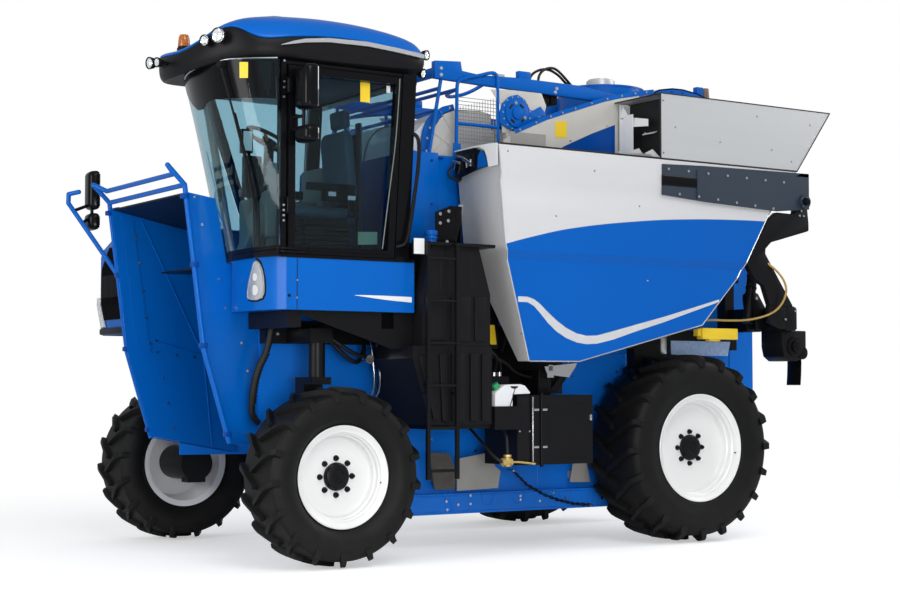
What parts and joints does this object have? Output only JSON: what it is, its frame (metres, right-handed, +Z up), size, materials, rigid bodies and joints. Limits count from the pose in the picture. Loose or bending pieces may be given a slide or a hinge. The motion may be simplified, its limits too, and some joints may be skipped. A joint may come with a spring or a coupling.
{
  "type": "grape harvester",
  "caption": "Self-propelled straddle grape harvester: tall tunnel with picking rods, offset cab, side hoppers that tip rearwards, suction fans on top.",
  "frame": {"origin": "on the ground under the middle of the machine's bounding box", "axes": "+X forwards, +Y to the machine's left, +Z up"},
  "size_m": [5.7, 3.13, 3.872],
  "materials": {
    "blue_paint": "glossy royal blue paint",
    "blue_grey_paint": "worn light grey-blue paint",
    "black_metal": "satin black paint",
    "white_plastic": "off-white food-grade plastic",
    "black_plastic": "moulded black plastic",
    "grey_plastic": "grey plastic",
    "glass": "clear glazing",
    "lamp_housing": "black lamp bodies",
    "seat_fabric": "dark blue-grey seat cloth",
    "engine_casting": "painted casting",
    "grey_metal": "light grey sheet metal",
    "rotor_steel": "cast aluminium",
    "white_rim": "white wheel paint",
    "tyre_rubber": "black agricultural rubber",
    "chrome_rod": "hard chrome"
  },
  "bodies": {
    "chassis": {"chassis_frame": "black_metal", "front_columns": "black_metal", "rear_legs": "black_metal", "side_walls": "blue_paint", "entry_flares": "blue_grey_paint", "basket_rings": "white_plastic", "picking_heads": "grey_plastic", "rear_towers": "blue_paint", "air_ducts": "blue_paint", "upper_beams": "black_metal", "fan_housings": "blue_paint", "rear_frames": "black_metal", "side_tanks": "black_plastic", "tunnel_roof": "black_metal", "front_guard": "black_metal", "upper_deck": "blue_paint", "handrail_cage": "blue_paint", "front_shield": "blue_paint", "cab_base": "blue_paint", "cab_frame": "black_metal", "cab_glass": "glass", "cab_roof": "blue_paint", "roof_fascia": "black_plastic", "roof_lamps": "lamp_housing", "operator_seat": "seat_fabric", "cab_controls": "grey_plastic", "right_mirror": "black_plastic", "engine_block": "engine_casting", "ladder": "black_metal", "tool_box": "black_plastic", "canister": "white_plastic"},
    "door": {"cab_door": "black_metal", "door_glass": "glass", "left_mirror": "black_plastic"},
    "box_door": {"tool_door": "black_plastic"},
    "hood": {"engine_hood": "blue_paint"},
    "left_knuckle": {"left_front_knuckle": "black_metal"},
    "left_front_wheel": {"left_front_rim": "white_rim", "left_front_tyre": "tyre_rubber"},
    "left_rear_wheel": {"left_rear_rim": "white_rim", "left_rear_tyre": "tyre_rubber"},
    "left_bin": {"left_hopper": "grey_metal", "left_hopper_hood": "grey_metal", "left_hopper_fittings": "black_metal"},
    "left_barrel": {"left_lift_barrel": "black_metal"},
    "left_rod": {"left_lift_rod": "chrome_rod"},
    "left_rotor": {"left_fan_rotor": "rotor_steel"},
    "right_knuckle": {"right_front_knuckle": "black_metal"},
    "right_front_wheel": {"right_front_rim": "white_rim", "right_front_tyre": "tyre_rubber"},
    "right_rear_wheel": {"right_rear_rim": "white_rim", "right_rear_tyre": "tyre_rubber"},
    "right_bin": {"right_hopper": "grey_metal", "right_hopper_hood": "grey_metal", "right_hopper_fittings": "black_metal"},
    "right_barrel": {"right_lift_barrel": "black_metal"},
    "right_rod": {"right_lift_rod": "chrome_rod"},
    "right_rotor": {"right_fan_rotor": "rotor_steel"}
  },
  "joints": [
    {"name": "left_steer", "type": "hinge", "parent": "chassis", "child": "left_knuckle", "pos_m": [1.8, 1.086, 0.617], "axis": [0, 0, 1], "range_deg": [-35, 35]},
    {"name": "left_front_spin", "type": "hinge", "parent": "left_knuckle", "child": "left_front_wheel", "pos_m": [1.8, 1.3, 0.617], "axis": [0, 1, 0], "continuous": true},
    {"name": "left_rear_spin", "type": "hinge", "parent": "chassis", "child": "left_rear_wheel", "pos_m": [-1.5, 1.12, 0.7455], "axis": [0, 1, 0], "continuous": true},
    {"name": "left_tip", "type": "hinge", "parent": "chassis", "child": "left_bin", "pos_m": [-2.53, 1.5, 2.754], "axis": [0, -1, 0], "range_deg": [0, 75]},
    {"name": "left_barrel_swing", "type": "hinge", "parent": "chassis", "child": "left_barrel", "pos_m": [-2.23, 1.18, 1.96], "axis": [0, -1, 0], "range_deg": [-15, 0]},
    {"name": "left_rod_slide", "type": "slide", "parent": "left_barrel", "child": "left_rod", "axis": [-0.1443, 0, 0.9895], "range_m": [0, 0.46]},
    {"name": "left_fan_spin", "type": "hinge", "parent": "chassis", "child": "left_rotor", "pos_m": [-1.28, 0.4, 3.6], "axis": [0, 0, 1], "continuous": true},
    {"name": "right_steer", "type": "hinge", "parent": "chassis", "child": "right_knuckle", "pos_m": [1.8, -1.086, 0.617], "axis": [0, 0, 1], "range_deg": [-35, 35]},
    {"name": "right_front_spin", "type": "hinge", "parent": "right_knuckle", "child": "right_front_wheel", "pos_m": [1.8, -1.3, 0.617], "axis": [0, 1, 0], "continuous": true},
    {"name": "right_rear_spin", "type": "hinge", "parent": "chassis", "child": "right_rear_wheel", "pos_m": [-1.5, -1.12, 0.7455], "axis": [0, 1, 0], "continuous": true},
    {"name": "right_tip", "type": "hinge", "parent": "chassis", "child": "right_bin", "pos_m": [-2.53, -1.5, 2.754], "axis": [0, -1, 0], "range_deg": [0, 75]},
    {"name": "right_barrel_swing", "type": "hinge", "parent": "chassis", "child": "right_barrel", "pos_m": [-2.23, -1.18, 1.96], "axis": [0, -1, 0], "range_deg": [-15, 0]},
    {"name": "right_rod_slide", "type": "slide", "parent": "right_barrel", "child": "right_rod", "axis": [-0.1443, 0, 0.9895], "range_m": [0, 0.46]},
    {"name": "right_fan_spin", "type": "hinge", "parent": "chassis", "child": "right_rotor", "pos_m": [-1.28, -0.4, 3.6], "axis": [0, 0, 1], "continuous": true},
    {"name": "cab_door_swing", "type": "hinge", "parent": "chassis", "child": "door", "pos_m": [2.175, 1.36, 2.8], "axis": [0, 0, -1], "range_deg": [0, 80]},
    {"name": "tool_door_swing", "type": "hinge", "parent": "chassis", "child": "box_door", "pos_m": [0.1, 1.429, 0.9], "axis": [0, 0, -1], "range_deg": [0, 100]},
    {"name": "hood_lift", "type": "hinge", "parent": "chassis", "child": "hood", "pos_m": [1.8, -0.706, 2.488], "axis": [-1, 0, 0], "range_deg": [0, 65]}
  ],
  "couplings": [
    {"joint": "left_barrel_swing", "follows": "left_tip", "ratio": -0.19},
    {"joint": "left_rod_slide", "follows": "left_tip", "m_per_rad": 0.345},
    {"joint": "right_barrel_swing", "follows": "right_tip", "ratio": -0.19},
    {"joint": "right_rod_slide", "follows": "right_tip", "m_per_rad": 0.345},
    {"joint": "right_steer", "follows": "left_steer", "ratio": 1}
  ]
}
